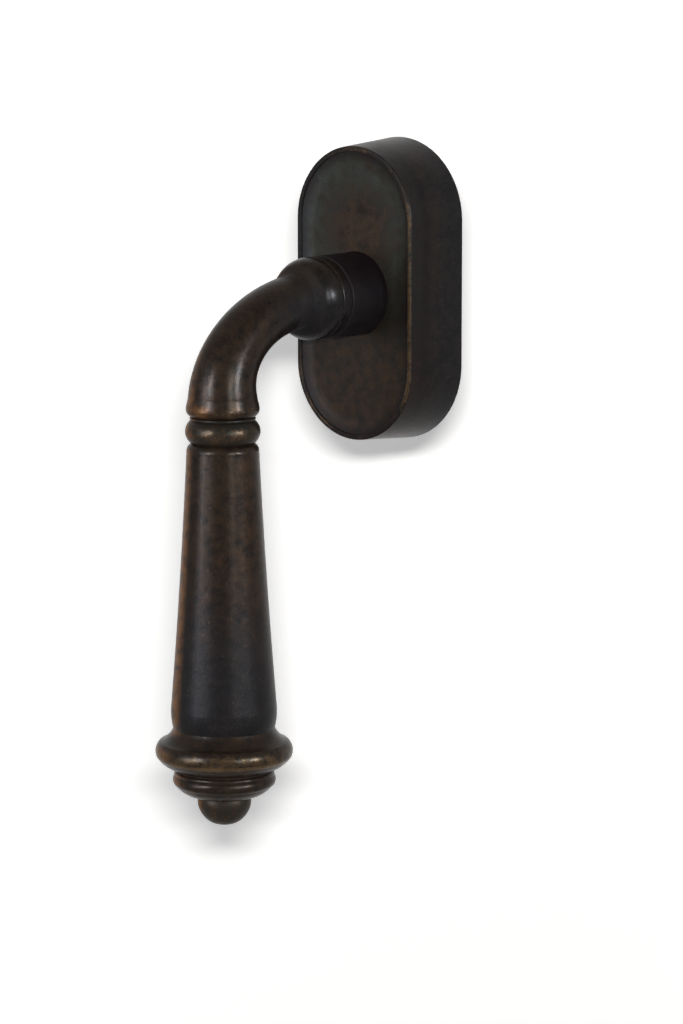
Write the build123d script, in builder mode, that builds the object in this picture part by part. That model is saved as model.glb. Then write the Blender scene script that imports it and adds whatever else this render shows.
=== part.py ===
from build123d import *
from math import cos, hypot, pi, sin, sqrt
import os

os.makedirs("parts", exist_ok=True)

# A window handle: a swan-neck lever with a turned grip, on an oval rose that covers its base plate.
# +Z is up and the lever hangs down. The sash's face is the plane Y = 0, the room is towards -Y,
# and the handle turns about the Y axis. A depth is a distance from the sash's face into the room.
# All sizes are in millimetres.

# Clearances
running_gap = 0.05
fit_gap = 0.05
side_gap = 0.25
end_gap = 0.1
wall_gap = 0.1
cam_gap = 0.3
travel_gap = 0.4

# Sash side: screws, locating bosses and spindle
screw_spacing = 43.0
screw_radius = 2.5
screw_shank_radius = 2.24
screw_head_radius = 4.6
screw_reach = 15.0
screw_hole_gap = 0.15
screw_shank_reach = 3.5
boss_radius = 5.0
boss_height = 2.5
spindle_width = 7.0
spindle_reach = 16.0
spindle_chamfer = 0.8

# Rose: its side wall leans in towards the room, and its face is sunk inside a thin rim
rose_length = 72.6
rose_width = 38.4
rose_depth = 17.2
rose_lean = 1.3
rose_wall = 2.0
rim_width = 1.3
rim_round = 0.4
rim_step = 0.45
dish_depth = 0.35
dish_width = 3.2
dish_radius = 14.0
face_thickness = 2.2
rose_bore_gap = 0.12

# Guide ring, pressed into the back of the rose's face
guide_wall = 2.2
guide_length = 2.2
guide_seat = 1.2

# Base plate
plate_thickness = 6.0
housing_depth = 10.0
housing_step = 1.0
front_wall = 2.4

# Detent: a square cam between two leaf springs, and the plate that closes their pocket
cam_width = 12.0
cam_round = 1.5
cam_thickness = 3.8
leaf_thickness = 0.5
leaf_length = 19.8
flex_length = 13.6
flex_room = 0.7
back_plate_thickness = 1.2
back_plate_edge = 0.2
back_screw_radius = 1.0
back_screw_shank_radius = 0.9
back_screw_head = 1.9
back_screw_length = 5.0
back_screw_wall = 1.2

# Spigot of the neck, with its bush, washer and retaining ring
spigot_wall = 1.55
bush_wall = 1.1
flange_wall = 3.7
flange_thickness = 0.8
washer_wall = 2.1
washer_thickness = 0.5
ring_thickness = 0.9
ring_grip = 0.6
ring_wall = 2.2
ring_opening = 3.0
ring_ear_hole = 0.5

# Leaf springs in the housing's sides, which hold the rose
rose_spring_length = 10.0
rose_spring_thickness = 0.4
rose_spring_width = 3.0
rose_spring_rise = 2.0

# Collar with a rounded edge, a wide groove, one fine ridge, a narrow groove, and the shoulder, which
# swells and then runs hollow into the neck
collar_radius = 9.9
collar_end = 28.6
collar_round = 0.35
collar_groove = 2.3
ridge_height = 0.35
ridge_width = 0.9
ridge_groove = 0.35
shoulder_depth = 5.6
shoulder_drop = 3.8
shoulder_turn = 64.0
shoulder_cove = 3.2
shoulder_sink = 0.7
socket_depth = 26.0
pin_radius = 1.25
pin_wall = 0.4
pin_slot = 0.5
pin_inset = 0.3

# Neck: its centre line is a quarter of an ellipse, from the shoulder to the grip's axis
projection = 63.0
neck_start = 34.2
neck_drop = 19.8
neck_start_radius = 6.63
neck_middle_radius = 6.6
neck_foot_radius = 8.0
neck_stations = 9
seam_radius = 7.3
lip_length = 4.8
lip_height = 1.24
lip_round = 1.7
lip_swell = 0.33

# Bead between the neck and the grip, with a fine fillet above it
bead_length = 6.2
bead_height = 1.36
fillet_length = 0.8
fillet_height = 0.3
fillet_foot_height = 0.1

# Grip: it widens from its top to its foot along a slightly hollow curve
grip_length = 66.8
grip_top_height = 1.12
grip_top_round = 2.0
grip_top_swell = 0.37
grip_hollow = 0.25
grip_foot_radius = 12.34
grip_foot_round = 4.6
grip_foot_inset = 0.49
grip_foot_swell = 0.18

# End knob: a flare, a bulb, a groove and a second, smaller ring below a fillet
flare_length = 3.2
flare_radius = 15.0
flare_hollow = 0.48
bulb_length = 3.7
bulb_height = 1.04
bulb_crest = 2.0
bulb_under_radius = 15.7
bulb_taper = 2.9
bulb_swell = 0.49
knob_groove_radius = 11.2
knob_groove_width = 0.3
knob_fillet_length = 1.1
knob_fillet_height = 0.25
knob_fillet_radius = 11.65
second_ring_length = 2.6
second_ring_height = 0.6
knob_foot_length = 2.5
knob_foot_radius = 6.6
knob_foot_swell = 0.54

# Finial: a domed nut on the end of the tie rod
finial_length = 6.9
finial_radius = 6.05
finial_swell = 0.22
finial_waist = 2.7
finial_dome_radius = 3.9
finial_dome = 1.15
finial_bore = 4.8

# Registers that centre the turned pieces on each other, tie rod and lock washer
register_radius = 5.0
register_depth = 2.2
rod_radius = 2.5
rod_gap = 0.2
rod_thread = 10.5
lock_washer_wall = 2.0
lock_washer_thickness = 1.0
lock_washer_slot = 0.8

# Cross recesses, as shares of the screw's or its head's radius, and the head's straight edge
recess_span = 1.7
recess_blade = 0.24
recess_depth = 0.7
head_land = 0.3


def facing(depth):
    """The plane that faces the room at this depth."""
    return Plane.XZ.offset(depth)


def mirrored(x):
    """One place on each side of the middle."""
    return [(x, 0), (-x, 0)]


# Places along the spindle's axis, as depths
pocket_depth = housing_depth - front_wall
cam_back = back_plate_thickness + cam_gap
cam_front = cam_back + cam_thickness
spigot_end = cam_front + end_gap
washer_front = pocket_depth - end_gap
washer_back = washer_front - washer_thickness
ring_front = washer_back - end_gap
ring_back = ring_front - ring_thickness
collar_back = housing_depth + flange_thickness + running_gap
face_recess = rim_step + dish_depth
face_back = rose_depth - face_recess - face_thickness
pin_depth = (collar_back + face_back) / 2

# Radii about the spindle's axis
spigot_radius = spindle_width / sqrt(2) + spigot_wall
bush_radius = spigot_radius + running_gap + bush_wall
flange_radius = spigot_radius + flange_wall
groove_radius = spigot_radius - ring_grip
washer_radius = spigot_radius + washer_wall
rose_bore = collar_radius + rose_bore_gap

# Outlines of the rose and of what it covers
rose_slope = rose_lean / rose_depth
rose_taper = Vector(1, 0).get_angle(Vector(1, rose_slope))
dish_taper = Vector(dish_depth, 0).get_angle(Vector(dish_depth, dish_width))
face_length = rose_length - 2 * rose_lean
face_width = rose_width - 2 * rose_lean
inner_length = rose_length - 2 * rose_wall
inner_width = rose_width - 2 * rose_wall
plate_shrink = 2 * (plate_thickness * rose_slope + side_gap)
plate_length = inner_length - plate_shrink
plate_width = inner_width - plate_shrink
housing_radius = plate_width / 2 - housing_step

# Leaf springs of the rose, as distances from the housing's middle
rose_spring_front = plate_thickness + wall_gap + rose_spring_width
rose_spring_crest = inner_width / 2 - rose_spring_front * rose_slope - wall_gap
rose_spring_floor = rose_spring_crest - rose_spring_thickness - rose_spring_rise

# Pocket of the detent: narrow where it seats the leaf springs' ends, wide where they bow out
leaf_x = cam_width / 2 + running_gap + leaf_thickness / 2
seat_half = leaf_x + leaf_thickness / 2 + wall_gap
cam_reach = (cam_width / 2 - cam_round) * sqrt(2) + cam_round
flex_half = seat_half + cam_reach - cam_width / 2 + flex_room
pocket_length = leaf_length + 2 * wall_gap
back_screw_x = seat_half + back_screw_radius + back_screw_wall
back_screw_z = flex_length / 2 + back_screw_radius + back_screw_wall
back_plate_radius = hypot(back_screw_x, back_screw_z) + back_screw_head + back_plate_edge

# Half sections through the spindle's axis and the grip's axis, for the neck's turned ends: each
# starts its surface where the bent neck's own surface has no seam
spindle_section = Plane(origin=(0, 0, 0), x_dir=(0, 0, 1), z_dir=(-1, 0, 0))
lip_section = Plane(origin=(0, -projection, 0), x_dir=(0, -1, 0), z_dir=(-1, 0, 0))

# Heights of the turned pieces' seams below the spindle's axis
grip_plane = facing(projection)
grip_axis = Axis((0, -projection, 0), (0, 0, 1))
lip_end = -neck_drop - lip_length
fillet_end = lip_end - fillet_length
bead_end = lip_end - bead_length
grip_end = bead_end - grip_length
flare_end = grip_end - flare_length
bulb_end = flare_end - bulb_length
groove_top = bulb_end - bulb_taper
groove_end = groove_top - knob_groove_width
knob_fillet_end = groove_end - knob_fillet_length
second_ring_end = knob_fillet_end - second_ring_length
knob_end = second_ring_end - knob_foot_length
finial_end = knob_end - finial_length

# Register that the neck's foot leaves below the bead, and the tie rod's top in the neck
register_end = bead_end - register_depth
rod_top = lip_end + rod_thread

# Radii about the grip's axis
lip_radius = seam_radius + lip_height
fillet_foot_radius = seam_radius + fillet_foot_height
grip_top_radius = seam_radius + grip_top_height
grip_seam_radius = grip_foot_radius - grip_foot_inset
rod_bore = rod_radius + rod_gap
register_bore = register_radius + fit_gap
washer_seat_radius = rod_bore + lock_washer_wall + fit_gap

# The rose may be pulled forward until its face is short of the collar's rounded edge
rose_travel = collar_end - collar_round - (rose_depth - face_recess) - travel_gap
print(f"rose travel {rose_travel:.2f} mm")


# Cover rose, a thin casting, open towards the sash
with BuildPart() as cover_rose:
    with BuildSketch(facing(0)):
        SlotOverall(rose_length, rose_width, rotation=90)
    extrude(amount=rose_depth, taper=rose_taper)
    with BuildSketch(facing(0)):
        SlotOverall(inner_length, inner_width, rotation=90)
    extrude(amount=face_back, taper=rose_taper, mode=Mode.SUBTRACT)
    with BuildSketch(facing(rose_depth)):
        SlotOverall(face_length - 2 * rim_width, face_width - 2 * rim_width, rotation=90)
    extrude(amount=-rim_step, mode=Mode.SUBTRACT)
    with BuildSketch(facing(rose_depth - rim_step)):
        SlotOverall(face_length - 2 * rim_width, face_width - 2 * rim_width, rotation=90)
    extrude(amount=-dish_depth, taper=dish_taper, mode=Mode.SUBTRACT)
    rim_edges = cover_rose.edges().group_by(Axis.Y)[0]
    fillet(rim_edges, radius=rim_round)
    floor_edges = cover_rose.faces().filter_by(Axis.Y).sort_by(Axis.Y)[1].edges()
    fillet(floor_edges, radius=dish_radius)
    with BuildSketch(facing(face_back)):
        Circle(rose_bore)
    extrude(amount=face_thickness, mode=Mode.SUBTRACT)
    with BuildSketch(facing(face_back)):
        Circle(collar_radius + running_gap + guide_wall)
    extrude(amount=guide_seat, mode=Mode.SUBTRACT)

# Guide ring, a nylon ring that the collar slides and turns in
with BuildPart() as guide_ring:
    with BuildSketch(facing(face_back + guide_seat)):
        Circle(collar_radius + running_gap + guide_wall)
        Circle(collar_radius + running_gap, mode=Mode.SUBTRACT)
    extrude(amount=-guide_length)

# Base plate, a die casting with a round housing and two locating bosses
with BuildPart() as base_plate:
    with BuildSketch(facing(0)):
        SlotOverall(plate_length, plate_width, rotation=90)
    extrude(amount=plate_thickness)
    with BuildSketch(facing(plate_thickness)):
        Circle(housing_radius)
    extrude(amount=housing_depth - plate_thickness)
    with BuildSketch(facing(0)):
        with GridLocations(0, screw_spacing, 1, 2):
            Circle(boss_radius)
    extrude(amount=-boss_height)
    with BuildSketch(facing(0)):
        Circle(back_plate_radius + wall_gap)
    extrude(amount=back_plate_thickness + wall_gap, mode=Mode.SUBTRACT)
    with BuildSketch(facing(0)):
        Rectangle(2 * seat_half, pocket_length)
        Rectangle(2 * flex_half, flex_length)
    extrude(amount=pocket_depth, mode=Mode.SUBTRACT)
    with BuildSketch(facing(cam_front)):
        Circle(washer_radius + side_gap)
    extrude(amount=pocket_depth - cam_front, mode=Mode.SUBTRACT)
    with BuildSketch(facing(0)):
        Circle(bush_radius)
    extrude(amount=housing_depth, mode=Mode.SUBTRACT)
    with BuildSketch(facing(0)):
        with GridLocations(2 * back_screw_x, 2 * back_screw_z, 2, 2):
            Circle(back_screw_radius)
    extrude(amount=back_screw_length + wall_gap, mode=Mode.SUBTRACT)
    with Locations(facing(plate_thickness)):
        with GridLocations(0, screw_spacing, 1, 2):
            CounterSinkHole(screw_radius + screw_hole_gap, screw_head_radius + screw_hole_gap,
                            counter_sink_angle=90)
    with BuildSketch(facing(plate_thickness)):
        with Locations(*mirrored((rose_spring_floor + rose_spring_crest) / 2)):
            Rectangle(rose_spring_crest - rose_spring_floor, rose_spring_length + 2 * wall_gap)
    extrude(amount=rose_spring_width + 2 * wall_gap, mode=Mode.SUBTRACT)

# Leaf springs that bow out of the housing's sides and grip the rose's wall
with BuildPart() as rose_springs:
    with BuildSketch(facing(plate_thickness + wall_gap)):
        with BuildLine():
            spring_top = rose_spring_floor + rose_spring_thickness
            outer = SagittaArc((spring_top, rose_spring_length / 2),
                               (spring_top, -rose_spring_length / 2), rose_spring_rise)
            inner = SagittaArc((rose_spring_floor, rose_spring_length / 2),
                               (rose_spring_floor, -rose_spring_length / 2), rose_spring_rise)
            Line(outer @ 0, inner @ 0)
            Line(outer @ 1, inner @ 1)
        make_face()
        mirror(about=Plane.YZ)
    extrude(amount=rose_spring_width)

# Bearing bush, a flanged nylon sleeve in the housing's front wall
with BuildPart() as bearing_bush:
    with BuildSketch(facing(housing_depth)):
        Circle(flange_radius)
        Circle(spigot_radius + running_gap, mode=Mode.SUBTRACT)
    extrude(amount=flange_thickness)
    with BuildSketch(facing(pocket_depth)):
        Circle(bush_radius)
        Circle(spigot_radius + running_gap, mode=Mode.SUBTRACT)
    extrude(amount=front_wall)

# Detent springs, two flat leaves that bear on the cam's flats
with BuildPart() as detent_springs:
    with BuildSketch(facing(cam_back + end_gap)):
        with Locations(*mirrored(leaf_x)):
            Rectangle(leaf_thickness, leaf_length)
    extrude(amount=cam_thickness - 2 * end_gap)

# Back plate, a steel disc let into the base plate's back
with BuildPart() as back_plate:
    with BuildSketch(facing(0)):
        Circle(back_plate_radius)
        Circle(spigot_radius, mode=Mode.SUBTRACT)
    extrude(amount=back_plate_thickness)
    with Locations(Plane.XZ.reverse()):
        with GridLocations(2 * back_screw_x, 2 * back_screw_z, 2, 2):
            CounterSinkHole(back_screw_radius + fit_gap, back_screw_head + fit_gap,
                            counter_sink_angle=90)


def make_screw(radius, shank_radius, head_radius, shank_depth, tip_depth):
    """A countersunk screw with a cross recess, its head facing +Z in the plane Z = 0."""
    with BuildPart() as screw:
        with BuildSketch(Plane.XZ):
            with BuildLine():
                Polyline((0, 0), (head_radius, 0), (head_radius, -head_land),
                         (shank_radius, -head_land - head_radius + shank_radius),
                         (shank_radius, -shank_depth), (radius, -shank_depth),
                         (radius, -tip_depth + radius / 2), (radius / 2, -tip_depth),
                         (0, -tip_depth), close=True)
            make_face()
        revolve(axis=Axis.Z)
        with BuildSketch(Plane.XY):
            Rectangle(2 * head_radius * recess_blade, radius * recess_span)
            Rectangle(radius * recess_span, 2 * head_radius * recess_blade)
        extrude(amount=-radius * recess_depth, mode=Mode.SUBTRACT)
    return screw.part


# Back plate screws, which hold the back plate to the base plate
with BuildPart() as back_plate_screws:
    with Locations(Plane.XZ.reverse()):
        with GridLocations(2 * back_screw_x, 2 * back_screw_z, 2, 2):
            add(make_screw(back_screw_radius, back_screw_shank_radius, back_screw_head - head_land,
                           back_plate_thickness, back_screw_length))

# Fixing screws, which pass through the bosses into the sash
with BuildPart() as fixing_screws:
    with Locations(facing(plate_thickness)):
        with GridLocations(0, screw_spacing, 1, 2):
            add(make_screw(screw_radius, screw_shank_radius, screw_head_radius - head_land,
                           plate_thickness + screw_shank_reach, plate_thickness + screw_reach))


def neck_station(share):
    """A plane square to the neck's centre line and the radius there, from shoulder (0) to foot (1)."""
    turn = share * pi / 2
    reach = projection - neck_start
    centre = (0, -neck_start - reach * sin(turn), -neck_drop * (1 - cos(turn)))
    onward = (0, -reach * cos(turn), -neck_drop * sin(turn))
    radius = (neck_start_radius * (1 - share) * (1 - 2 * share)
              + 4 * neck_middle_radius * share * (1 - share)
              + neck_foot_radius * share * (2 * share - 1))
    return Plane(origin=centre, x_dir=(1, 0, 0), z_dir=onward), radius


# Neck, one casting: spigot, collar, ridge, shoulder, bent neck and lip
with BuildPart() as neck:
    groove_foot = collar_radius - collar_round
    ridge_back = collar_end + collar_groove
    ridge_front = ridge_back + ridge_width
    shoulder_back = ridge_front + ridge_groove
    shoulder_foot = neck_start_radius - shoulder_sink
    with BuildSketch(spindle_section):
        with BuildLine():
            Polyline((0, -spigot_end), (spigot_radius, -spigot_end),
                     (spigot_radius, -collar_back), (collar_radius, -collar_back),
                     (collar_radius, -collar_end + collar_round))
            TangentArc((collar_radius, -collar_end + collar_round), (groove_foot, -collar_end),
                       tangent=(0, -1))
            Line((groove_foot, -collar_end), (groove_foot, -ridge_back))
            SagittaArc((groove_foot, -ridge_back), (groove_foot, -ridge_front), ridge_height)
            Polyline((groove_foot, -ridge_front), (groove_foot, -shoulder_back),
                     (collar_radius, -shoulder_back))
            swell = EllipticalCenterArc((collar_radius - shoulder_drop, -shoulder_back),
                                        shoulder_drop, shoulder_depth,
                                        start_angle=-shoulder_turn, arc_size=shoulder_turn)
            cove_end = (swell @ 0).Y - shoulder_cove
            Spline(swell @ 0, (shoulder_foot, cove_end), tangents=[-(swell % 0), (0, -1)])
            Polyline((shoulder_foot, cove_end), (0, cove_end), (0, -spigot_end))
        make_face()
    revolve(axis=Axis.Y)
    for step in range(neck_stations):
        station, station_radius = neck_station(step / (neck_stations - 1))
        with BuildSketch(station):
            Circle(station_radius)
    loft()
    with BuildSketch(lip_section):
        with BuildLine():
            Polyline((0, register_end), (0, -neck_drop), (neck_foot_radius, -neck_drop))
            Spline((neck_foot_radius, -neck_drop), (lip_radius, lip_end + lip_round),
                   tangents=[(0, -1), (0, -1)])
            SagittaArc((lip_radius, lip_end + lip_round), (seam_radius, lip_end), lip_swell)
            Polyline((seam_radius, lip_end), (register_radius, lip_end),
                     (register_radius, register_end), (0, register_end))
        make_face()
    revolve(axis=grip_axis)
    with BuildSketch(facing(spigot_end)):
        Rectangle(spindle_width + 2 * fit_gap, spindle_width + 2 * fit_gap)
    extrude(amount=socket_depth - spigot_end + fit_gap, mode=Mode.SUBTRACT)
    with BuildSketch(facing(ring_back - fit_gap)):
        Circle(spigot_radius + fit_gap)
        Circle(groove_radius, mode=Mode.SUBTRACT)
    extrude(amount=ring_thickness + 2 * fit_gap, mode=Mode.SUBTRACT)
    with BuildSketch(Plane.YZ):
        with Locations((-pin_depth, 0)):
            Circle(pin_radius)
    extrude(amount=collar_radius, both=True, mode=Mode.SUBTRACT)
    with BuildSketch(Plane(origin=(0, -projection, register_end))):
        Circle(rod_radius)
    extrude(amount=rod_top - register_end, mode=Mode.SUBTRACT)

# Retaining ring, an open ring with two ear holes, in the spigot's groove
with BuildPart() as retaining_ring:
    ring_middle = groove_radius + ring_wall / 2
    ear_x = ring_opening / 2 + ring_wall / 2
    ear_z = -sqrt(ring_middle ** 2 - ear_x ** 2)
    with BuildSketch(facing(ring_back)):
        Circle(groove_radius + ring_wall)
        Circle(groove_radius, mode=Mode.SUBTRACT)
        with Locations((0, -ring_middle)):
            Rectangle(ring_opening, 2 * ring_wall, mode=Mode.SUBTRACT)
        with Locations((ear_x, ear_z), (-ear_x, ear_z)):
            Circle(ring_ear_hole, mode=Mode.SUBTRACT)
    extrude(amount=ring_thickness)

# Thrust washer, between the retaining ring and the housing's front wall
with BuildPart() as thrust_washer:
    with BuildSketch(facing(washer_back)):
        Circle(washer_radius)
        Circle(spigot_radius + fit_gap, mode=Mode.SUBTRACT)
    extrude(amount=washer_thickness)

# Detent cam, a square plate on the spindle, which the leaf springs hold at each quarter turn
with BuildPart() as detent_cam:
    with BuildSketch(facing(cam_back)):
        RectangleRounded(cam_width, cam_width, cam_round)
        Rectangle(spindle_width + 2 * fit_gap, spindle_width + 2 * fit_gap, mode=Mode.SUBTRACT)
    extrude(amount=cam_thickness)

# Spindle, a square bar from the collar to the window's gear
with BuildPart() as spindle:
    with BuildSketch(facing(-spindle_reach)):
        Rectangle(spindle_width, spindle_width)
    extrude(amount=spindle_reach + socket_depth)
    chamfer(spindle.edges().group_by(Axis.Y)[-1], length=spindle_chamfer)
    with BuildSketch(Plane.YZ):
        with Locations((-pin_depth, 0)):
            Circle(pin_radius)
    extrude(amount=spindle_width, both=True, mode=Mode.SUBTRACT)

# Spindle pin, a slotted spring pin across the collar and the spindle, hidden by the rose
with BuildPart() as spindle_pin:
    with BuildSketch(Plane.YZ):
        with Locations((-pin_depth, 0)):
            Circle(pin_radius)
            Circle(pin_radius - pin_wall, mode=Mode.SUBTRACT)
        with Locations((-pin_depth - pin_radius, 0)):
            Rectangle(2 * pin_radius, pin_slot, mode=Mode.SUBTRACT)
    extrude(amount=collar_radius - pin_inset, both=True)

# Bead, a turned ring on the neck's lower spigot
with BuildPart() as bead_ring:
    with BuildSketch(grip_plane):
        with BuildLine():
            Line((register_bore, lip_end), (seam_radius, lip_end))
            SagittaArc((seam_radius, lip_end), (fillet_foot_radius, fillet_end), fillet_height)
            SagittaArc((fillet_foot_radius, fillet_end), (seam_radius, bead_end), bead_height)
            Polyline((seam_radius, bead_end), (register_bore, bead_end), (register_bore, lip_end))
        make_face()
    revolve(axis=grip_axis)

# Grip, turned from bar and drilled for the tie rod
with BuildPart() as grip:
    taper_top = bead_end - grip_top_round
    taper_foot = grip_end + grip_foot_round
    with BuildSketch(grip_plane):
        with BuildLine():
            Line((rod_bore, bead_end), (seam_radius, bead_end))
            SagittaArc((seam_radius, bead_end), (grip_top_radius, taper_top), grip_top_swell)
            SagittaArc((grip_top_radius, taper_top), (grip_foot_radius, taper_foot), -grip_hollow)
            SagittaArc((grip_foot_radius, taper_foot), (grip_seam_radius, grip_end), grip_foot_swell)
            Polyline((grip_seam_radius, grip_end), (rod_bore, grip_end), (rod_bore, bead_end))
        make_face()
    revolve(axis=grip_axis)
    with BuildSketch(Plane(origin=(0, -projection, bead_end))):
        Circle(register_bore)
    extrude(amount=-register_depth - fit_gap, mode=Mode.SUBTRACT)
    with BuildSketch(Plane(origin=(0, -projection, grip_end))):
        Circle(register_bore)
    extrude(amount=register_depth + fit_gap, mode=Mode.SUBTRACT)

# End knob: a flare under the grip, a bulb, a groove and a smaller ring
with BuildPart() as end_knob:
    knob_top = grip_end + register_depth
    with BuildSketch(grip_plane):
        with BuildLine():
            Polyline((rod_bore, knob_top), (register_radius, knob_top),
                     (register_radius, grip_end), (grip_seam_radius, grip_end))
            SagittaArc((grip_seam_radius, grip_end), (flare_radius, flare_end), -flare_hollow)
            ThreePointArc((flare_radius, flare_end),
                          (flare_radius + bulb_height, flare_end - bulb_crest),
                          (bulb_under_radius, bulb_end))
            SagittaArc((bulb_under_radius, bulb_end), (knob_groove_radius, groove_top), bulb_swell)
            Line((knob_groove_radius, groove_top), (knob_groove_radius, groove_end))
            SagittaArc((knob_groove_radius, groove_end), (knob_fillet_radius, knob_fillet_end),
                       knob_fillet_height)
            SagittaArc((knob_fillet_radius, knob_fillet_end), (knob_groove_radius, second_ring_end),
                       second_ring_height)
            SagittaArc((knob_groove_radius, second_ring_end), (knob_foot_radius, knob_end),
                       knob_foot_swell)
            Polyline((knob_foot_radius, knob_end), (rod_bore, knob_end), (rod_bore, knob_top))
        make_face()
    revolve(axis=grip_axis)
    with BuildSketch(Plane(origin=(0, -projection, knob_end))):
        Circle(washer_seat_radius)
    extrude(amount=lock_washer_thickness, mode=Mode.SUBTRACT)

# Lock washer, a split ring in the knob's foot, under the finial
with BuildPart() as lock_washer:
    with BuildSketch(Plane(origin=(0, -projection, knob_end))):
        Circle(washer_seat_radius - fit_gap)
        Circle(rod_radius + fit_gap, mode=Mode.SUBTRACT)
        with Locations((0, washer_seat_radius / 2)):
            Rectangle(lock_washer_slot, washer_seat_radius, mode=Mode.SUBTRACT)
    extrude(amount=lock_washer_thickness)

# Finial, a domed nut that draws the turned pieces together on the tie rod
with BuildPart() as finial:
    dome_top = finial_end + finial_dome
    swell_foot = knob_end - finial_waist
    with BuildSketch(grip_plane):
        with BuildLine():
            Line((0, knob_end), (finial_radius, knob_end))
            side = SagittaArc((finial_radius, knob_end), (finial_radius, swell_foot), finial_swell)
            shoulder_curve = TangentArc((finial_radius, swell_foot), (finial_dome_radius, dome_top),
                                        tangent=side % 1)
            Spline(shoulder_curve @ 1, (0, finial_end), tangents=[shoulder_curve % 1, (-1, 0)])
            Line((0, finial_end), (0, knob_end))
        make_face()
    revolve(axis=grip_axis)
    with BuildSketch(Plane(origin=(0, -projection, knob_end))):
        Circle(rod_radius)
    extrude(amount=-finial_bore, mode=Mode.SUBTRACT)

# Tie rod, threaded into the neck's spigot and the finial
with BuildPart() as tie_rod:
    rod_foot = knob_end - finial_bore + fit_gap
    with BuildSketch(Plane(origin=(0, -projection, rod_foot))):
        Circle(rod_radius)
    extrude(amount=rod_top - fit_gap - rod_foot)

pieces = {
    "base_plate": base_plate,
    "fixing_screws": fixing_screws,
    "bearing_bush": bearing_bush,
    "detent_springs": detent_springs,
    "back_plate": back_plate,
    "back_plate_screws": back_plate_screws,
    "rose_springs": rose_springs,
    "cover_rose": cover_rose,
    "guide_ring": guide_ring,
    "neck": neck,
    "bead_ring": bead_ring,
    "grip": grip,
    "end_knob": end_knob,
    "finial": finial,
    "tie_rod": tie_rod,
    "lock_washer": lock_washer,
    "spindle": spindle,
    "spindle_pin": spindle_pin,
    "detent_cam": detent_cam,
    "retaining_ring": retaining_ring,
    "thrust_washer": thrust_washer,
}
for name, piece in pieces.items():
    piece.part.label = name
    export_step(piece.part, f"parts/{name}.step")
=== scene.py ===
import math

import bmesh
import bpy
from mathutils import Matrix, Vector


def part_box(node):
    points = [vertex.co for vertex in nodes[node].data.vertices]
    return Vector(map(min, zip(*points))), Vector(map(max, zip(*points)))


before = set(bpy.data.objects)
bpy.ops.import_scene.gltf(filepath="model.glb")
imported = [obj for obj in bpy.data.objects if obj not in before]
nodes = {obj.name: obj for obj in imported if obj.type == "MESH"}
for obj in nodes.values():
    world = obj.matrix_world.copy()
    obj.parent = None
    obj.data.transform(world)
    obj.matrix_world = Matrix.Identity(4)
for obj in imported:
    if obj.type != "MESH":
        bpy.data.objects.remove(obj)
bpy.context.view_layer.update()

scene = bpy.context.scene
scene.view_settings.view_transform = "Standard"


# Camera. A long lens looks from the room's right, a little from above, with the handle left of the
# middle and above it.
camera_azimuth = math.radians(41.2)
camera_elevation = math.radians(9.2)
camera_distance = 1.0
camera_shift_right = -0.01415
camera_shift_up = -0.05389
camera_lens_mm = 146.2


def way_towards(azimuth, elevation):
    """The way from the handle to what stands at an azimuth, right of its front, and an elevation."""
    return Vector((
        math.sin(azimuth) * math.cos(elevation),
        -math.cos(azimuth) * math.cos(elevation),
        math.sin(elevation),
    ))


to_camera = way_towards(camera_azimuth, camera_elevation)
picture_right = Vector((math.cos(camera_azimuth), math.sin(camera_azimuth), 0))
picture_up = to_camera.cross(picture_right)
camera_place = to_camera * camera_distance + picture_right * camera_shift_right + picture_up * camera_shift_up
camera_axes = Matrix((picture_right, picture_up, to_camera)).transposed().to_4x4()
camera_data = bpy.data.cameras.new("camera")
camera_data.lens = camera_lens_mm
camera = bpy.data.objects.new("camera", camera_data)
camera.matrix_world = Matrix.Translation(camera_place) @ camera_axes
scene.collection.objects.link(camera)
scene.camera = camera


# Base plate. A zinc die casting, left bare: dull grey with a fine cast skin. Two screws hold it to the
# sash, and the rose covers it.
def feed(tree, socket, value):
    """Links a socket to its source, or sets it to a value; a tuple is a colour."""
    if isinstance(value, bpy.types.NodeSocket):
        tree.links.new(value, socket)
    elif isinstance(value, tuple):
        socket.default_value = (*value, 1)
    else:
        socket.default_value = value


def add_node(tree, kind, settings=None, **inputs):
    """A shader node, with its inputs given by name."""
    made = tree.nodes.new("ShaderNode" + kind)
    for name, value in (settings or {}).items():
        setattr(made, name, value)
    for name, value in inputs.items():
        feed(tree, made.inputs[name.replace("_", " ")], value)
    return made


def add_ordered(tree, kind, settings, *values):
    """A shader node, with its inputs given in their order."""
    made = add_node(tree, kind, settings)
    for socket, value in zip(made.inputs, values):
        feed(tree, socket, value)
    return made


def calculate(tree, operation, *values):
    """A Math node's result."""
    return add_ordered(tree, "Math", {"operation": operation}, *values).outputs[0]


def between(tree, mask, at_none, at_full):
    """A value that a mask leads from one to another."""
    return calculate(tree, "MULTIPLY_ADD", mask, at_full - at_none, at_none)


def mix_colours(tree, share, first, second):
    """A colour between two, by a mask or a share. A Mix node has other sockets for other kinds of data."""
    factor_socket, first_socket, second_socket, result_socket = 0, 6, 7, 2
    made = add_node(tree, "Mix", {"data_type": "RGBA"})
    for index, value in ((factor_socket, share), (first_socket, first), (second_socket, second)):
        feed(tree, made.inputs[index], value)
    return made.outputs[result_socket]


def noise(tree, place, scale, detail=3.0, roughness=0.5):
    """Noise from 0 to 1, whose features are about a metre over its scale across."""
    made = add_node(tree, "TexNoise", Vector=place, Scale=scale, Detail=detail, Roughness=roughness)
    return made.outputs["Fac"]


def new_material(name):
    """A material without nodes yet, and its tree."""
    material = bpy.data.materials.new(name)
    material.use_nodes = True
    material.node_tree.nodes.clear()
    return material, material.node_tree


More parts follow.
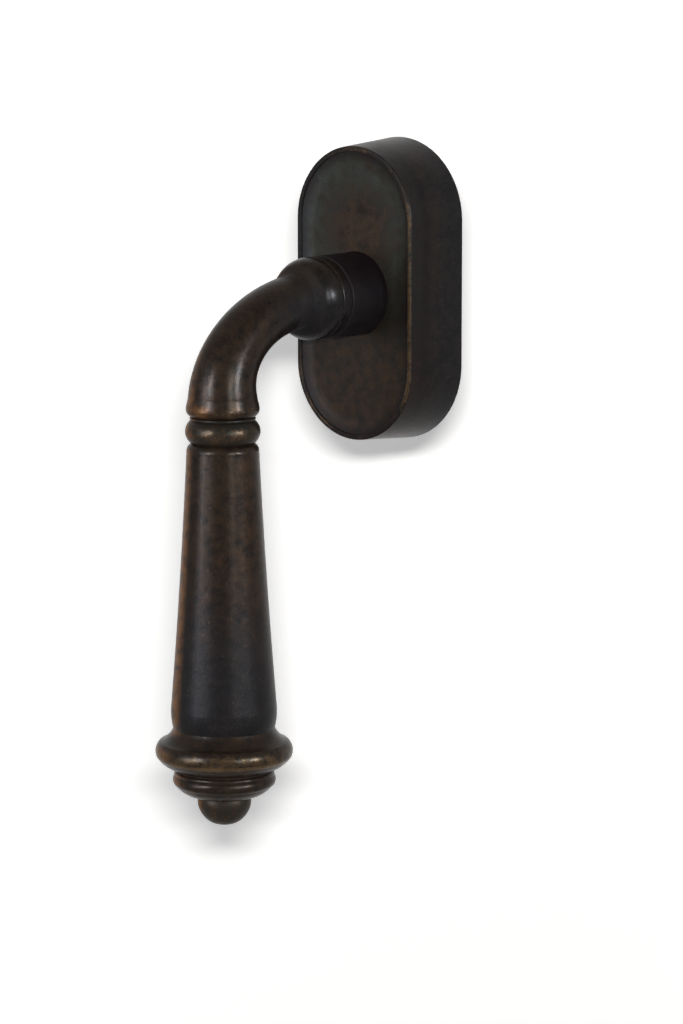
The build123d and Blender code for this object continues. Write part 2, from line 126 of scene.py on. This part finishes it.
def plain_material(name, colour, second_colour, roughness, grain_scale, grain_height, metallic=1.0):
    """A bare metal or plastic, mottled between two colours and a little in its roughness."""
    roughness_spread = 0.2
    material, tree = new_material(name)
    here = add_node(tree, "TexCoord").outputs["Object"]
    mottle = noise(tree, here, grain_scale, detail=4, roughness=0.6)
    relief = add_node(tree, "Bump", Strength=1.0, Distance=grain_height, Height=mottle)
    shader = add_node(tree, "BsdfPrincipled", Metallic=metallic,
                      Base_Color=mix_colours(tree, mottle, colour, second_colour),
                      Roughness=between(tree, mottle, at_none=roughness - roughness_spread / 2,
                                        at_full=roughness + roughness_spread / 2),
                      Normal=relief.outputs["Normal"])
    add_node(tree, "OutputMaterial", Surface=shader.outputs["BSDF"])
    return material


def dress(material, *names):
    """Gives CAD nodes this material."""
    for name in names:
        nodes[name].data.materials.clear()
        nodes[name].data.materials.append(material)


dress(plain_material("zinc_casting", colour=(0.30, 0.31, 0.32), second_colour=(0.46, 0.47, 0.48),
                     roughness=0.55, grain_scale=900, grain_height=0.00003), "base_plate")


# Steel parts. Screws, back plate, spindle, cam, thrust washer and tie rod are zinc-plated; springs, pin,
# circlip and lock washer are blued spring steel.
dress(plain_material("zinc_plate", colour=(0.50, 0.49, 0.45), second_colour=(0.66, 0.66, 0.63),
                     roughness=0.32, grain_scale=1500, grain_height=0.000008),
      "fixing_screws", "back_plate", "back_plate_screws", "spindle", "tie_rod", "thrust_washer",
      "detent_cam")
dress(plain_material("blued_steel", colour=(0.09, 0.10, 0.12), second_colour=(0.17, 0.18, 0.21),
                     roughness=0.35, grain_scale=1200, grain_height=0.000008),
      "detent_springs", "rose_springs", "spindle_pin", "retaining_ring", "lock_washer")


# Nylon parts. The bush is moulded milky white and the guide ring black, because its front edge shows
# in the gap round the collar; both are pressed in.
dress(plain_material("nylon", colour=(0.70, 0.69, 0.64), second_colour=(0.78, 0.77, 0.72),
                     roughness=0.5, grain_scale=700, grain_height=0.00001, metallic=0.0), "bearing_bush")
dress(plain_material("black_nylon", colour=(0.004, 0.004, 0.004), second_colour=(0.007, 0.007, 0.007),
                     roughness=0.6, grain_scale=700, grain_height=0.00001, metallic=0.0), "guide_ring")


# Cover rose. A thin brass casting with a sunk face and a raised rim. Acid has darkened it to a brown
# that is nearly black, greyer above and redder below and over the collar; the rim is rubbed. Painted
# shade darkens the corner inside the rim, a painted cool reflection lies on the dish and a painted
# highlight on the rim's lower left.
def rise(tree, value, low, high, full=1.0):
    """0 up to low and full from high on, with a smooth rise between; low may be above high."""
    made = add_node(tree, "MapRange", {"interpolation_type": "SMOOTHSTEP"},
                    Value=value, From_Min=low, From_Max=high, To_Max=full)
    return made.outputs[0]


def product(tree, *values):
    """All these values multiplied."""
    total = values[0]
    for value in values[1:]:
        total = calculate(tree, "MULTIPLY", total, value)
    return total


def largest(tree, *values):
    """The largest of these values."""
    total = values[0]
    for value in values[1:]:
        total = calculate(tree, "MAXIMUM", total, value)
    return total


# The finish: its linear colours, its noises' scales, and how much each noise and mask counts
dark_brown = (0.0052, 0.0043, 0.0040)
warm_brown = (0.0135, 0.0096, 0.0070)
red_brown = (0.0300, 0.0160, 0.0090)
olive_grey = (0.0310, 0.0325, 0.0265)
slate_grey = (0.0080, 0.0082, 0.0105)
amber_brown = (0.2100, 0.0880, 0.0260)
# The pale fleck colour paints glints.
painted_glint_fleck = (0.0650, 0.0520, 0.0400)
# The nearly black colour paints shade.
painted_shade_black = (0.0045, 0.0024, 0.0036)
# Worn brass is wear, and also paints highlights and a floor reflection on the knob and rose.
worn_brass_and_highlight = (0.0900, 0.0580, 0.0290)

cloud_scale = 90
blotch_scale = 380
grain_scale = 1700
noise_middle = 0.5
blotch_share = 0.6
painted_shade_share = 0.85
ragged_grain = 0.8
dull_roughness = 0.35
worn_polish = 0.08
grain_relief = 0.35
patina_relief_depth = 0.00006
patina_specular_level = 0.07
patina_specular_tint = (0.85, 0.85, 0.85)

patina = bpy.data.node_groups.new("patina", "ShaderNodeTree")
for way, sockets in (
    ("INPUT", {"Place": "Vector", "Wear": "Float", "Red": "Float", "Green": "Float", "Cool": "Float",
               "Amber": "Float", "Deep": "Float", "Dull": "Float"}),
    ("OUTPUT", {"Color": "Color", "Metallic": "Float", "Roughness": "Float", "Height": "Float"}),
):
    for name, kind in sockets.items():
        patina.interface.new_socket(name, in_out=way, socket_type="NodeSocket" + kind)
given = patina.nodes.new("NodeGroupInput").outputs
result = patina.nodes.new("NodeGroupOutput").inputs

cloud = noise(patina, given["Place"], cloud_scale)
blotch = noise(patina, given["Place"], blotch_scale, detail=4, roughness=0.65)
grain = noise(patina, given["Place"], grain_scale, roughness=0.6)
mottle = calculate(patina, "MULTIPLY_ADD", blotch, blotch_share, product(patina, cloud, 1 - blotch_share))
ragged = calculate(patina, "MULTIPLY_ADD", calculate(patina, "SUBTRACT", grain, noise_middle), ragged_grain,
                   calculate(patina, "SUBTRACT", blotch, noise_middle))
broken_and_highlit = rise(patina, calculate(patina, "ADD", given["Wear"], ragged), low=0.15, high=0.95)

colour = dark_brown
for share, next_colour in (
    (rise(patina, mottle, low=0.36, high=0.62), warm_brown),
    (product(patina, given["Red"], rise(patina, blotch, low=0.20, high=0.75)), red_brown),
    (product(patina, given["Green"], rise(patina, blotch, low=0.80, high=0.25)), olive_grey),
    # Cool grey: a tone on some parts, a painted reflection on the rose's dish and painted shade under the
    # neck.
    (given["Cool"], slate_grey),
    (product(patina, given["Amber"], rise(patina, blotch, low=0.25, high=0.65)), amber_brown),
    # Painted glints: pale flecks in the grain.
    (rise(patina, grain, low=0.58, high=0.74, full=0.24), painted_glint_fleck),
    # Painted shade, nearly black.
    (product(patina, given["Deep"], painted_shade_share), painted_shade_black),
    # Wear, and painted highlights and reflections where a part's mask asks for them.
    (broken_and_highlit, worn_brass_and_highlight),
):
    colour = mix_colours(patina, share, colour, next_colour)
rough = calculate(patina, "MULTIPLY_ADD", given["Dull"], dull_roughness,
                  between(patina, blotch, at_none=0.22, at_full=0.38))
for socket, source in (
    (result["Color"], colour),
    (result["Metallic"], product(patina, between(patina, broken_and_highlit, at_none=0.25, at_full=0.55),
                                 between(patina, given["Deep"], at_none=1.0, at_full=0.1))),
    (result["Roughness"], calculate(patina, "MULTIPLY_ADD", broken_and_highlit, -worn_polish, rough)),
    (result["Height"], calculate(patina, "MULTIPLY_ADD", grain, grain_relief, blotch)),
):
    patina.links.new(source, socket)


def patinated(name, **masks):
    """A patinated material. Each of its masks is a value or a function of (tree, here).

    What the function gets as here is the sockets of a point's place, its x, y and z, and its normal.
    """
    material, tree = new_material(name)
    coordinates = add_node(tree, "TexCoord").outputs
    along = add_node(tree, "SeparateXYZ", Vector=coordinates["Object"]).outputs
    here = {"place": coordinates["Object"], "normal": coordinates["Normal"],
            "x": along["X"], "y": along["Y"], "z": along["Z"]}
    shares = {}
    for mask, value in masks.items():
        shares[mask] = value(tree, here) if callable(value) else value
    finish = add_node(tree, "Group", {"node_tree": patina}, Place=here["place"], **shares).outputs
    relief = add_node(tree, "Bump", Strength=1.0, Distance=patina_relief_depth, Height=finish["Height"])
    shader = add_node(tree, "BsdfPrincipled", Base_Color=finish["Color"], Metallic=finish["Metallic"],
                      Roughness=finish["Roughness"], Specular_IOR_Level=patina_specular_level,
                      Specular_Tint=patina_specular_tint, Normal=relief.outputs["Normal"])
    add_node(tree, "OutputMaterial", Surface=shader.outputs["BSDF"])
    return material


def spot(tree, here, centre, inner, outer, full=1.0):
    """A round mask: full within inner of a point and 0 beyond outer."""
    away = add_ordered(tree, "VectorMath", {"operation": "DISTANCE"}, here["place"], centre)
    return rise(tree, away.outputs["Value"], outer, inner, full)


def facing_towards(tree, here, way, low, high, full=1.0):
    """A mask of what faces one way."""
    turned_there = add_ordered(tree, "VectorMath", {"operation": "DOT_PRODUCT"}, here["normal"], way)
    return rise(tree, turned_there.outputs["Value"], low, high, full)


def hypotenuse(tree, first, second):
    """The distance that two steps at right angles make."""
    return calculate(tree, "SQRT", calculate(
        tree, "ADD", calculate(tree, "POWER", first, 2), calculate(tree, "POWER", second, 2)))


rose_low, rose_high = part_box("cover_rose")
rose_front = rose_low.y
rose_half_width = rose_high.x
rose_end_centre_z = rose_high.z - rose_high.x
rim_depth = 0.0004
dish_left_slope = Vector((0.45, -0.89, 0))


def rose_wear_and_highlight(tree, here):
    """The rim's wear, most along its right side and least where a hand doesn't reach, and a painted highlight
    at its lower left.
    """
    rim = rise(tree, here["y"], low=rose_front + rim_depth, high=rose_front)
    right = rise(tree, here["x"], low=0.0120, high=0.0168)
    # Painted highlight on the rim's lower left, given as wear.
    low_left_highlight = spot(tree, here, Vector((-0.0145, rose_front, -0.0265)), inner=0.004, outer=0.014, full=0.6)
    top = spot(tree, here, Vector((-0.002, rose_front, 0.0350)), inner=0.004, outer=0.012, full=0.5)
    return product(tree, rim, between(tree, largest(tree, right, low_left_highlight, top), at_none=0.16, at_full=0.50))


def rose_face(tree, here):
    """The sunk face, and not the side wall."""
    return rise(tree, here["y"], low=-0.012, high=-0.015)


def rose_stain(tree, here, full=1.0):
    """A stain above the collar."""
    centre = Vector((0.001, rose_front + 0.0008, 0.0155))
    return spot(tree, here, centre, inner=0.004, outer=0.015, full=full)


def rose_dish(tree, here):
    """The left side of the dish round the sunk face."""
    return facing_towards(tree, here, dish_left_slope, low=0.905, high=0.965, full=0.75)


def rose_corner_shade(tree, here):
    """Painted shade in the corner just inside the rim."""
    past_end = calculate(tree, "MAXIMUM", 0.0, calculate(
        tree, "SUBTRACT", calculate(tree, "ABSOLUTE", here["z"]), rose_end_centre_z))
    to_edge = calculate(tree, "SUBTRACT", rose_half_width, hypotenuse(tree, here["x"], past_end))
    return product(tree, rise(tree, to_edge, low=0.0052, high=0.0026),
                   rise(tree, to_edge, low=0.0007, high=0.0010, full=0.8))


def rose_red(tree, here):
    """The lower face, a stain above the collar, and the side wall's two ends."""
    lower = rise(tree, here["z"], low=-0.002, high=-0.018, full=0.85)
    on_face = product(tree, rose_face(tree, here), largest(tree, lower, rose_stain(tree, here, full=0.85)))
    ends = rise(tree, calculate(tree, "ABSOLUTE", here["z"]), low=0.026, high=0.035, full=0.5)
    return largest(tree, on_face, ends)


def rose_green(tree, here):
    """The upper face around the stain, and the lower face less."""
    clear = calculate(tree, "SUBTRACT", 1.0, rose_stain(tree, here))
    upper = rise(tree, here["z"], low=-0.012, high=0.012)
    return product(tree, between(tree, upper, at_none=0.20, at_full=0.88), clear, rose_face(tree, here))


def rose_cool(tree, here):
    """The side wall, towards the sash, in cool grey, and a painted cool reflection on the dish."""
    return largest(tree, rise(tree, here["y"], low=-0.015, high=-0.002, full=0.60), rose_dish(tree, here))


def rose_dull(tree, here):
    """The whole rose a little, the dish more."""
    return between(tree, rose_dish(tree, here), at_none=0.1, at_full=0.9)


dress(patinated("rose_patina", Wear=rose_wear_and_highlight, Red=rose_red, Green=rose_green, Cool=rose_cool,
                Deep=rose_corner_shade, Dull=rose_dull), "cover_rose")


# Neck. A brass casting with a turned collar and one fine ridge. The hand rubs its left side and the
# lip at its foot. Painted shade darkens the collar's top, and painted cool shade the underside near
# the shoulder.
rubbed_side = Vector((-0.78, -0.62, 0.0))
up_and_right = Vector((0.3, 0, 0.95))
down_and_right = Vector((0.55, 0, -0.83))
ridge_centre_y = -0.03135
ridge_crest = 0.0001
ridge_half_width = 0.0006


def neck_wear(tree, here):
    """The ridge and the lip."""
    from_ridge = calculate(tree, "ABSOLUTE", calculate(tree, "SUBTRACT", here["y"], ridge_centre_y))
    ridge = rise(tree, from_ridge, low=ridge_half_width, high=ridge_crest, full=0.14)
    lip = rise(tree, here["z"], low=-0.0208, high=-0.0230, full=0.24)
    return largest(tree, ridge, lip)


def neck_amber(tree, here):
    """The outer side of the bend, most near the lip, and the lip itself."""
    bend_foot = rise(tree, here["z"], low=0.008, high=-0.020)
    outer = product(tree, facing_towards(tree, here, rubbed_side, low=0.68, high=0.96),
                    between(tree, bend_foot, at_none=0.30, at_full=1.0))
    lip = product(tree, rise(tree, here["z"], low=-0.0205, high=-0.0228),
                  facing_towards(tree, here, rubbed_side, low=0.0, high=0.9, full=0.55))
    return largest(tree, outer, lip)


def neck_red(tree, here):
    """The bend, more than the collar and the shoulder."""
    return between(tree, rise(tree, here["y"], low=-0.040, high=-0.056), at_none=0.10, at_full=0.60)


def neck_dull(tree, here):
    """The hollow before the shoulder, where no hand polishes it, and the collar; less than 0 is shiny."""
    hollow = product(tree, rise(tree, here["y"], low=-0.0362, high=-0.0372),
                     rise(tree, here["y"], low=-0.0440, high=-0.0405))
    collar = rise(tree, here["y"], low=-0.0300, high=-0.0288, full=0.5)
    shoulder = product(tree, rise(tree, here["y"], low=-0.0375, high=-0.0365),
                       rise(tree, here["y"], low=-0.0300, high=-0.0310, full=0.08))
    return calculate(tree, "SUBTRACT", largest(tree, hollow, collar), shoulder)


def neck_underside_shade(tree, here):
    """Painted cool shade on the shoulder and the underside of the neck near it."""
    return product(tree, rise(tree, here["y"], low=-0.058, high=-0.044),
                   facing_towards(tree, here, down_and_right, low=-0.5, high=0.5, full=0.6))


def neck_collar_shade(tree, here):
    """Painted shade on the collar, behind the groove, most on top."""
    top = facing_towards(tree, here, up_and_right, low=-0.1, high=0.8)
    return product(tree, rise(tree, here["y"], low=-0.0305, high=-0.0288),
                   between(tree, top, at_none=0.3, at_full=1.0))


dress(patinated("neck_patina", Wear=neck_wear, Red=neck_red, Green=0.04, Cool=neck_underside_shade,
                Amber=neck_amber, Deep=neck_collar_shade, Dull=neck_dull), "neck")


# Bead. A turned brass ring between the neck and the grip, held there by the tie rod that runs through
# all of them. It is mottled olive and brown.
bead_low, bead_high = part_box("bead_ring")
grip_low, grip_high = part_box("grip")
grip_axis_y = (grip_low.y + grip_high.y) / 2


def radius_here(tree, here):
    """The distance from the upright axis of the turned pieces."""
    return hypotenuse(tree, here["x"], calculate(tree, "SUBTRACT", here["y"], grip_axis_y))


def bead_wear(tree, here):
    """The crown, a little."""
    return rise(tree, radius_here(tree, here), low=0.0078, high=0.0087, full=0.30)


def bead_red(tree, here):
    """The lower half."""
    lower = rise(tree, here["z"], low=bead_high.z - 0.002, high=bead_low.z + 0.001)
    return between(tree, lower, at_none=0.3, at_full=0.8)


def side_amber(tree, here):
    """The rubbed side of a turned piece."""
    return facing_towards(tree, here, rubbed_side, low=0.66, high=0.94)


dress(patinated("bead_patina", Wear=bead_wear, Red=bead_red, Green=0.25, Amber=side_amber, Dull=0.15),
      "bead_ring")


# Grip. Turned from brass bar, hollowed a little along its taper. Browner at its top and its left
# side, darker and greyer towards its foot.
grip_least_red = 0.02


def grip_amber(tree, here):
    """A stripe down the rubbed side."""
    return facing_towards(tree, here, rubbed_side, low=0.74, high=0.95)


def grip_red(tree, here):
    """The top two thirds, and the side towards the rose."""
    upper = rise(tree, here["z"], low=grip_low.z + 0.008, high=grip_high.z - 0.034)
    inner_side = facing_towards(tree, here, rubbed_side, low=-0.1, high=-0.6)
    return calculate(tree, "MULTIPLY_ADD", upper, between(tree, inner_side, at_none=0.55, at_full=0.90),
                     grip_least_red)


def grip_foot(tree, here, full):
    """The foot, where the grip is duller and greyer."""
    return rise(tree, here["z"], low=grip_low.z + 0.048, high=grip_low.z + 0.012, full=full)


dress(patinated("grip_patina", Wear=0.02, Red=grip_red, Green=0.05, Amber=grip_amber,
                Cool=lambda tree, here: grip_foot(tree, here, full=0.6),
                Dull=lambda tree, here: grip_foot(tree, here, full=0.2)), "grip")


# End knob. A turned brass bulb with a flare above and a second ring below. The bulb's crown and the
# edge below it are rubbed, with a painted highlight along that edge; all undersides carry a painted
# reflection of the floor.
bulb_edge_below_top = 0.0091
bulb_edge_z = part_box("end_knob")[1].z - bulb_edge_below_top


def knob_wear_and_highlight(tree, here):
    """Wear and a painted highlight on the edge under the bulb's crown, wear on the crown, and a painted floor
    reflection on the underside.
    """
    radius = radius_here(tree, here)
    from_edge = calculate(tree, "ABSOLUTE", calculate(tree, "SUBTRACT", here["z"], bulb_edge_z))
    # Painted highlight along the edge under the crown, given as wear.
    edge = product(tree, rise(tree, from_edge, low=0.0010, high=0.0002),
                   rise(tree, radius, low=0.0145, high=0.0153, full=0.75))
    crown = rise(tree, radius, low=0.0150, high=0.0161, full=0.42)
    # Painted reflection of the floor on the underside, given as wear.
    underside = facing_towards(tree, here, Vector((0, 0, -1)), low=0.1, high=0.8, full=0.24)
    return largest(tree, edge, crown, underside)


dress(patinated("knob_patina", Wear=knob_wear_and_highlight, Red=0.45, Green=0.06, Amber=side_amber), "end_knob")


# Finial. A domed brass nut, screwed on to the end of the tie rod to close the stack. It is worn all
# over, most at its tip.
finial_tip_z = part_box("finial")[0].z


def finial_wear(tree, here):
    """The tip, and the rest a little."""
    tip = rise(tree, here["z"], low=finial_tip_z + 0.0025, high=finial_tip_z)
    return between(tree, tip, at_none=0.20, at_full=0.45)


dress(patinated("finial_patina", Wear=finial_wear, Red=0.45, Green=0.30, Amber=side_amber, Dull=0.4),
      "finial")


# Studio sheet. One white sheet is the floor and, behind the handle, the wall. It shows only from its
# front, so that the handle can be seen from behind too, and glows a little, most at its left, where
# the lamp lights it less.
sheet_gap = 0.10
sheet_floor = -0.32
sheet_round = 0.05
sheet_reach = 3.0
sheet_steps = 12
sheet_white = 0.95
near_glow = 0.25
far_glow = 0.48
far_glow_x = -0.24

outline = [Vector((-sheet_reach, -sheet_reach, sheet_floor))]
for step in range(sheet_steps + 1):
    turn = math.pi / 2 * step / sheet_steps
    outline.append(Vector((-sheet_reach, sheet_gap - sheet_round * (1 - math.sin(turn)),
                           sheet_floor + sheet_round * (1 - math.cos(turn)))))
outline.append(Vector((-sheet_reach, sheet_gap, sheet_reach)))
sheet_mesh = bmesh.new()
edge = [sheet_mesh.verts.new(point) for point in outline]
for first, second in zip(edge, edge[1:]):
    sheet_mesh.edges.new((first, second))
grown = bmesh.ops.extrude_edge_only(sheet_mesh, edges=sheet_mesh.edges[:])
bmesh.ops.translate(sheet_mesh, vec=Vector((2 * sheet_reach, 0, 0)),
                    verts=[piece for piece in grown["geom"] if isinstance(piece, bmesh.types.BMVert)])
sheet_mesh.normal_update()
floor_face = min(sheet_mesh.faces, key=lambda face: face.calc_center_median().z)
if floor_face.normal.z < 0:
    bmesh.ops.reverse_faces(sheet_mesh, faces=sheet_mesh.faces[:])
sheet_data = bpy.data.meshes.new("studio_sheet")
sheet_mesh.to_mesh(sheet_data)
sheet_mesh.free()
sheet_data.shade_smooth()
sheet = bpy.data.objects.new("studio_sheet", sheet_data)
scene.collection.objects.link(sheet)


def shown_rays(tree):
    """1 for rays that show the surroundings: straight to the camera, by reflection or through glass."""
    path = add_node(tree, "LightPath")
    return largest(tree, *(path.outputs[ray]
                           for ray in ("Is Camera Ray", "Is Glossy Ray", "Is Transmission Ray")))


sheet_material, tree = new_material("studio_sheet")
paper = add_node(tree, "BsdfDiffuse", Color=(sheet_white, sheet_white, sheet_white))
sheet_place = add_node(tree, "TexCoord").outputs["Object"]
sheet_x = add_node(tree, "SeparateXYZ", Vector=sheet_place).outputs["X"]
evened = add_node(tree, "MapRange", Value=sheet_x, From_Min=0.0, From_Max=far_glow_x,
                  To_Min=near_glow, To_Max=far_glow)
glow = add_node(tree, "Emission", Color=(1, 1, 1), Strength=evened.outputs[0])
lit = add_ordered(tree, "AddShader", None, paper.outputs[0], glow.outputs[0])
clear = add_node(tree, "BsdfTransparent")
behind = add_node(tree, "NewGeometry").outputs["Backfacing"]
front = product(tree, shown_rays(tree), calculate(tree, "SUBTRACT", 1.0, behind))
seen = add_ordered(tree, "MixShader", None, front, clear.outputs[0], lit.outputs[0])
add_node(tree, "OutputMaterial", Surface=seen.outputs[0])
sheet_data.materials.append(sheet_material)


# Light. A white room, a soft oval lamp close above the camera that casts the one shadow, and windows
# that only show as reflections: on each side a bright pane over its dimmer lower end, a tall dim one
# farther left and a small bright one farther right.
room_level = 0.15
world = bpy.data.worlds.new("room")
scene.world = world
world.use_nodes = True
tree = world.node_tree
tree.nodes.clear()
room = add_node(tree, "Background", Color=(1, 1, 1),
                Strength=between(tree, shown_rays(tree), at_none=room_level, at_full=1))
add_node(tree, "OutputWorld", Surface=room.outputs[0])


handle_middle = Vector((0, grip_axis_y / 2, -0.05))


def add_lamp(name, place, shape, width, tall, power, tint):
    """An area lamp that faces the handle."""
    data = bpy.data.lights.new(name, "AREA")
    data.shape = shape
    data.size = width
    data.size_y = tall
    data.energy = power
    data.color = tint
    lamp = bpy.data.objects.new(name, data)
    way = (place - handle_middle).normalized()
    lamp.matrix_world = Matrix.Translation(place) @ way.to_track_quat("Z", "Y").to_matrix().to_4x4()
    scene.collection.objects.link(lamp)
    return lamp


key_above_camera = 0.035
key = add_lamp("key", camera_place + picture_up * key_above_camera, "ELLIPSE",
               width=0.070, tall=0.024, power=10.5, tint=(1.0, 0.99, 0.97))
key.visible_glossy = False

# Each window: its name, azimuth from the camera's, elevation, width, height, radiance and tint
window_distance = 2.0
windows = (
    ("left_pane", -44, 15.5, 0.26, 0.72, 100, (0.86, 0.92, 1.0)),
    ("left_sill", -60, 5, 0.24, 0.90, 34, (0.86, 0.90, 1.0)),
    ("far_left_pane", -70, 12, 0.12, 1.60, 16, (0.55, 0.78, 1.0)),
    ("right_pane", 29.5, 14, 0.16, 0.60, 76, (0.88, 0.98, 0.94)),
    ("right_sill", 28, 4, 0.09, 0.90, 18, (0.95, 0.96, 1.0)),
    ("side_pane", 53, 14, 0.20, 0.34, 275, (0.84, 0.92, 1.0)),
)
for name, azimuth, elevation, width, tall, radiance, tint in windows:
    way = way_towards(camera_azimuth + math.radians(azimuth), math.radians(elevation))
    window = add_lamp(name, handle_middle + way * window_distance, "RECTANGLE", width, tall,
                      power=radiance * math.pi * width * tall, tint=tint)
    window.visible_diffuse = False
